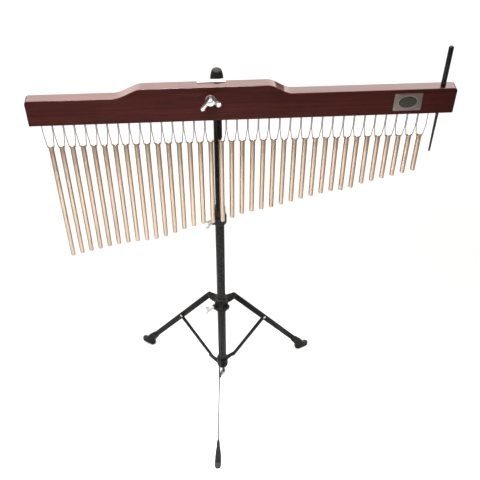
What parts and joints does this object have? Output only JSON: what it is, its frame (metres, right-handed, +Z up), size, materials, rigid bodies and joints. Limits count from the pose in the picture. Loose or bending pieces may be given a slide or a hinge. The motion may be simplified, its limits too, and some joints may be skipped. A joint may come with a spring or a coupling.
{
  "type": "bar chimes on a tripod stand",
  "caption": "Row of graduated metal bar chimes hung on cords from a varnished wooden bar, on a folding tripod stand with a height clutch and a striker.",
  "frame": {"origin": "on the floor under the middle of the whole box", "axes": "+Z up, +X along the bar from the longest chime to the shortest, +Y from the player to the mast"},
  "size_m": [0.761, 0.4032, 0.977],
  "materials": {
    "varnished_wood": "high-gloss varnish over dark red-brown mahogany",
    "peg_wood": "raw wood",
    "chime_metal": "satin champagne anodised rod",
    "cord": "braided nylon",
    "brushed_plate": "brushed plate",
    "nickel": "nickel plated",
    "black_plastic": "moulded black plastic",
    "black_paint": "black powder coat",
    "black_gloss": "black lacquer",
    "rubber": "matte moulded rubber"
  },
  "bodies": {
    "base": {"lower_tube": "black_paint", "lower_hub": "black_paint", "height_clutch": "black_plastic"},
    "upper_mast": {"upper_tube": "black_paint", "mast_cap": "black_plastic"},
    "chime_bar": {"wood_bar": "varnished_wood", "cord_pegs": "peg_wood", "name_plate": "brushed_plate", "mount_bracket": "nickel", "clamp_bolt": "nickel"},
    "wing_nut": {"wing_nut": "nickel"},
    "striker": {"striker": "black_gloss"},
    "clutch_wing_screw": {"clutch_wing_screw": "nickel"},
    "leg_collar": {"leg_collar": "black_paint"},
    "collar_wing_screw": {"collar_wing_screw": "nickel"},
    "leg_front": {"leg_front": "black_paint", "foot_front": "rubber"},
    "brace_front": {"brace_front": "black_paint"},
    "leg_right": {"leg_right": "black_paint", "foot_right": "rubber"},
    "brace_right": {"brace_right": "black_paint"},
    "leg_left": {"leg_left": "black_paint", "foot_left": "rubber"},
    "brace_left": {"brace_left": "black_paint"},
    "chime_01": {"chime_01": "chime_metal"},
    "chime_02": {"chime_02": "chime_metal"},
    "chime_03": {"chime_03": "chime_metal"},
    "chime_04": {"chime_04": "chime_metal"},
    "chime_05": {"chime_05": "chime_metal"},
    "chime_06": {"chime_06": "chime_metal"},
    "chime_07": {"chime_07": "chime_metal"},
    "chime_08": {"chime_08": "chime_metal"},
    "chime_09": {"chime_09": "chime_metal"},
    "chime_10": {"chime_10": "chime_metal"},
    "chime_11": {"chime_11": "chime_metal"},
    "chime_12": {"chime_12": "chime_metal"},
    "chime_13": {"chime_13": "chime_metal"},
    "chime_14": {"chime_14": "chime_metal"},
    "chime_15": {"chime_15": "chime_metal"},
    "chime_16": {"chime_16": "chime_metal"},
    "chime_17": {"chime_17": "chime_metal"},
    "chime_18": {"chime_18": "chime_metal"},
    "chime_19": {"chime_19": "chime_metal"},
    "chime_20": {"chime_20": "chime_metal"},
    "chime_21": {"chime_21": "chime_metal"},
    "chime_22": {"chime_22": "chime_metal"},
    "chime_23": {"chime_23": "chime_metal"},
    "chime_24": {"chime_24": "chime_metal"},
    "chime_25": {"chime_25": "chime_metal"},
    "chime_26": {"chime_26": "chime_metal"},
    "chime_27": {"chime_27": "chime_metal"},
    "chime_28": {"chime_28": "chime_metal"},
    "chime_29": {"chime_29": "chime_metal"},
    "chime_30": {"chime_30": "chime_metal"},
    "chime_31": {"chime_31": "chime_metal"},
    "chime_32": {"chime_32": "chime_metal"},
    "chime_33": {"chime_33": "chime_metal"},
    "chime_34": {"chime_34": "chime_metal"},
    "chime_35": {"chime_35": "chime_metal"},
    "chime_36": {"chime_36": "chime_metal"}
  },
  "joints": [
    {"name": "mast_height", "type": "slide", "parent": "base", "child": "upper_mast", "axis": [0, 0, 1], "range_m": [0, 0.25]},
    {"name": "bar_swivel", "type": "hinge", "parent": "upper_mast", "child": "chime_bar", "pos_m": [-0.045, 0.05131, 0.882], "axis": [0, 0, 1], "continuous": true},
    {"name": "wing_nut_turn", "type": "hinge", "parent": "chime_bar", "child": "wing_nut", "pos_m": [-0.0578, 0.01581, 0.892], "axis": [0, -1, 0], "continuous": true},
    {"name": "clutch_screw_turn", "type": "hinge", "parent": "base", "child": "clutch_wing_screw", "pos_m": [-0.06266, 0.04192, 0.568], "axis": [-0.8829, -0.4695, 0], "continuous": true},
    {"name": "striker_lift", "type": "slide", "parent": "chime_bar", "child": "striker", "axis": [0, 0, 1], "range_m": [0, 0.16]},
    {"name": "collar_slide", "type": "slide", "parent": "base", "child": "leg_collar", "axis": [0, 0, 1], "range_m": [0, 0.057]},
    {"name": "collar_screw_turn", "type": "hinge", "parent": "leg_collar", "child": "collar_wing_screw", "pos_m": [-0.06494, 0.04201, 0.298], "axis": [-0.9063, -0.4226, 0], "continuous": true},
    {"name": "leg_front_fold", "type": "hinge", "parent": "leg_collar", "child": "leg_front", "pos_m": [-0.04801, 0.01945, 0.3134], "axis": [0.9956, -0.0941, 0], "range_deg": [0, 33.8]},
    {"name": "brace_front_fold", "type": "hinge", "parent": "base", "child": "brace_front", "pos_m": [-0.04801, 0.01945, 0.0847], "axis": [-0.9956, 0.0941, 0], "range_deg": [0, 40.75]},
    {"name": "leg_right_fold", "type": "hinge", "parent": "leg_collar", "child": "leg_right", "pos_m": [-0.0159, 0.06463, 0.3134], "axis": [-0.4163, 0.9092, 0], "range_deg": [0, 33.8]},
    {"name": "brace_right_fold", "type": "hinge", "parent": "base", "child": "brace_right", "pos_m": [-0.0159, 0.06463, 0.0847], "axis": [0.4163, -0.9092, 0], "range_deg": [0, 40.75]},
    {"name": "leg_left_fold", "type": "hinge", "parent": "leg_collar", "child": "leg_left", "pos_m": [-0.07108, 0.06984, 0.3134], "axis": [-0.5793, -0.8151, 0], "range_deg": [0, 33.8]},
    {"name": "brace_left_fold", "type": "hinge", "parent": "base", "child": "brace_left", "pos_m": [-0.07108, 0.06984, 0.0847], "axis": [0.5793, 0.8151, 0], "range_deg": [0, 40.75]},
    {"name": "swing_01", "type": "hinge", "parent": "chime_bar", "child": "chime_01", "pos_m": [-0.35175, 0.02656, 0.845], "axis": [1, 0, 0], "range_deg": [-35, 35]},
    {"name": "swing_02", "type": "hinge", "parent": "chime_bar", "child": "chime_02", "pos_m": [-0.33225, 0.02656, 0.845], "axis": [1, 0, 0], "range_deg": [-35, 35]},
    {"name": "swing_03", "type": "hinge", "parent": "chime_bar", "child": "chime_03", "pos_m": [-0.31275, 0.02656, 0.845], "axis": [1, 0, 0], "range_deg": [-35, 35]},
    {"name": "swing_04", "type": "hinge", "parent": "chime_bar", "child": "chime_04", "pos_m": [-0.29325, 0.02656, 0.845], "axis": [1, 0, 0], "range_deg": [-35, 35]},
    {"name": "swing_05", "type": "hinge", "parent": "chime_bar", "child": "chime_05", "pos_m": [-0.27375, 0.02656, 0.845], "axis": [1, 0, 0], "range_deg": [-35, 35]},
    {"name": "swing_06", "type": "hinge", "parent": "chime_bar", "child": "chime_06", "pos_m": [-0.25425, 0.02656, 0.845], "axis": [1, 0, 0], "range_deg": [-35, 35]},
    {"name": "swing_07", "type": "hinge", "parent": "chime_bar", "child": "chime_07", "pos_m": [-0.23475, 0.02656, 0.845], "axis": [1, 0, 0], "range_deg": [-35, 35]},
    {"name": "swing_08", "type": "hinge", "parent": "chime_bar", "child": "chime_08", "pos_m": [-0.21525, 0.02656, 0.845], "axis": [1, 0, 0], "range_deg": [-35, 35]},
    {"name": "swing_09", "type": "hinge", "parent": "chime_bar", "child": "chime_09", "pos_m": [-0.19575, 0.02656, 0.845], "axis": [1, 0, 0], "range_deg": [-35, 35]},
    {"name": "swing_10", "type": "hinge", "parent": "chime_bar", "child": "chime_10", "pos_m": [-0.17625, 0.02656, 0.845], "axis": [1, 0, 0], "range_deg": [-35, 35]},
    {"name": "swing_11", "type": "hinge", "parent": "chime_bar", "child": "chime_11", "pos_m": [-0.15675, 0.02656, 0.845], "axis": [1, 0, 0], "range_deg": [-35, 35]},
    {"name": "swing_12", "type": "hinge", "parent": "chime_bar", "child": "chime_12", "pos_m": [-0.13725, 0.02656, 0.845], "axis": [1, 0, 0], "range_deg": [-35, 35]},
    {"name": "swing_13", "type": "hinge", "parent": "chime_bar", "child": "chime_13", "pos_m": [-0.11775, 0.02656, 0.845], "axis": [1, 0, 0], "range_deg": [-35, 35]},
    {"name": "swing_14", "type": "hinge", "parent": "chime_bar", "child": "chime_14", "pos_m": [-0.09825, 0.02656, 0.845], "axis": [1, 0, 0], "range_deg": [-35, 35]},
    {"name": "swing_15", "type": "hinge", "parent": "chime_bar", "child": "chime_15", "pos_m": [-0.07875, 0.02656, 0.845], "axis": [1, 0, 0], "range_deg": [-35, 35]},
    {"name": "swing_16", "type": "hinge", "parent": "chime_bar", "child": "chime_16", "pos_m": [-0.05925, 0.02656, 0.845], "axis": [1, 0, 0], "range_deg": [-35, 2]},
    {"name": "swing_17", "type": "hinge", "parent": "chime_bar", "child": "chime_17", "pos_m": [-0.03975, 0.02656, 0.845], "axis": [1, 0, 0], "range_deg": [-35, 1.5]},
    {"name": "swing_18", "type": "hinge", "parent": "chime_bar", "child": "chime_18", "pos_m": [-0.02025, 0.02656, 0.845], "axis": [1, 0, 0], "range_deg": [-35, 35]},
    {"name": "swing_19", "type": "hinge", "parent": "chime_bar", "child": "chime_19", "pos_m": [-0.00075, 0.02656, 0.845], "axis": [1, 0, 0], "range_deg": [-35, 35]},
    {"name": "swing_20", "type": "hinge", "parent": "chime_bar", "child": "chime_20", "pos_m": [0.01875, 0.02656, 0.845], "axis": [1, 0, 0], "range_deg": [-35, 35]},
    {"name": "swing_21", "type": "hinge", "parent": "chime_bar", "child": "chime_21", "pos_m": [0.03825, 0.02656, 0.845], "axis": [1, 0, 0], "range_deg": [-35, 35]},
    {"name": "swing_22", "type": "hinge", "parent": "chime_bar", "child": "chime_22", "pos_m": [0.05775, 0.02656, 0.845], "axis": [1, 0, 0], "range_deg": [-35, 35]},
    {"name": "swing_23", "type": "hinge", "parent": "chime_bar", "child": "chime_23", "pos_m": [0.07725, 0.02656, 0.845], "axis": [1, 0, 0], "range_deg": [-35, 35]},
    {"name": "swing_24", "type": "hinge", "parent": "chime_bar", "child": "chime_24", "pos_m": [0.09675, 0.02656, 0.845], "axis": [1, 0, 0], "range_deg": [-35, 35]},
    {"name": "swing_25", "type": "hinge", "parent": "chime_bar", "child": "chime_25", "pos_m": [0.11625, 0.02656, 0.845], "axis": [1, 0, 0], "range_deg": [-35, 35]},
    {"name": "swing_26", "type": "hinge", "parent": "chime_bar", "child": "chime_26", "pos_m": [0.13575, 0.02656, 0.845], "axis": [1, 0, 0], "range_deg": [-35, 35]},
    {"name": "swing_27", "type": "hinge", "parent": "chime_bar", "child": "chime_27", "pos_m": [0.15525, 0.02656, 0.845], "axis": [1, 0, 0], "range_deg": [-35, 35]},
    {"name": "swing_28", "type": "hinge", "parent": "chime_bar", "child": "chime_28", "pos_m": [0.17475, 0.02656, 0.845], "axis": [1, 0, 0], "range_deg": [-35, 35]},
    {"name": "swing_29", "type": "hinge", "parent": "chime_bar", "child": "chime_29", "pos_m": [0.19425, 0.02656, 0.845], "axis": [1, 0, 0], "range_deg": [-35, 35]},
    {"name": "swing_30", "type": "hinge", "parent": "chime_bar", "child": "chime_30", "pos_m": [0.21375, 0.02656, 0.845], "axis": [1, 0, 0], "range_deg": [-35, 35]},
    {"name": "swing_31", "type": "hinge", "parent": "chime_bar", "child": "chime_31", "pos_m": [0.23325, 0.02656, 0.845], "axis": [1, 0, 0], "range_deg": [-35, 35]},
    {"name": "swing_32", "type": "hinge", "parent": "chime_bar", "child": "chime_32", "pos_m": [0.25275, 0.02656, 0.845], "axis": [1, 0, 0], "range_deg": [-35, 35]},
    {"name": "swing_33", "type": "hinge", "parent": "chime_bar", "child": "chime_33", "pos_m": [0.27225, 0.02656, 0.845], "axis": [1, 0, 0], "range_deg": [-35, 35]},
    {"name": "swing_34", "type": "hinge", "parent": "chime_bar", "child": "chime_34", "pos_m": [0.29175, 0.02656, 0.845], "axis": [1, 0, 0], "range_deg": [-35, 35]},
    {"name": "swing_35", "type": "hinge", "parent": "chime_bar", "child": "chime_35", "pos_m": [0.31125, 0.02656, 0.845], "axis": [1, 0, 0], "range_deg": [-35, 35]},
    {"name": "swing_36", "type": "hinge", "parent": "chime_bar", "child": "chime_36", "pos_m": [0.33075, 0.02656, 0.845], "axis": [1, 0, 0], "range_deg": [-35, 35]}
  ],
  "couplings": [
    {"joint": "leg_front_fold", "follows": "collar_slide", "rad_per_m": 10.256},
    {"joint": "brace_front_fold", "follows": "collar_slide", "rad_per_m": 12.386},
    {"joint": "leg_right_fold", "follows": "collar_slide", "rad_per_m": 10.256},
    {"joint": "brace_right_fold", "follows": "collar_slide", "rad_per_m": 12.386},
    {"joint": "leg_left_fold", "follows": "collar_slide", "rad_per_m": 10.256},
    {"joint": "brace_left_fold", "follows": "collar_slide", "rad_per_m": 12.386}
  ]
}
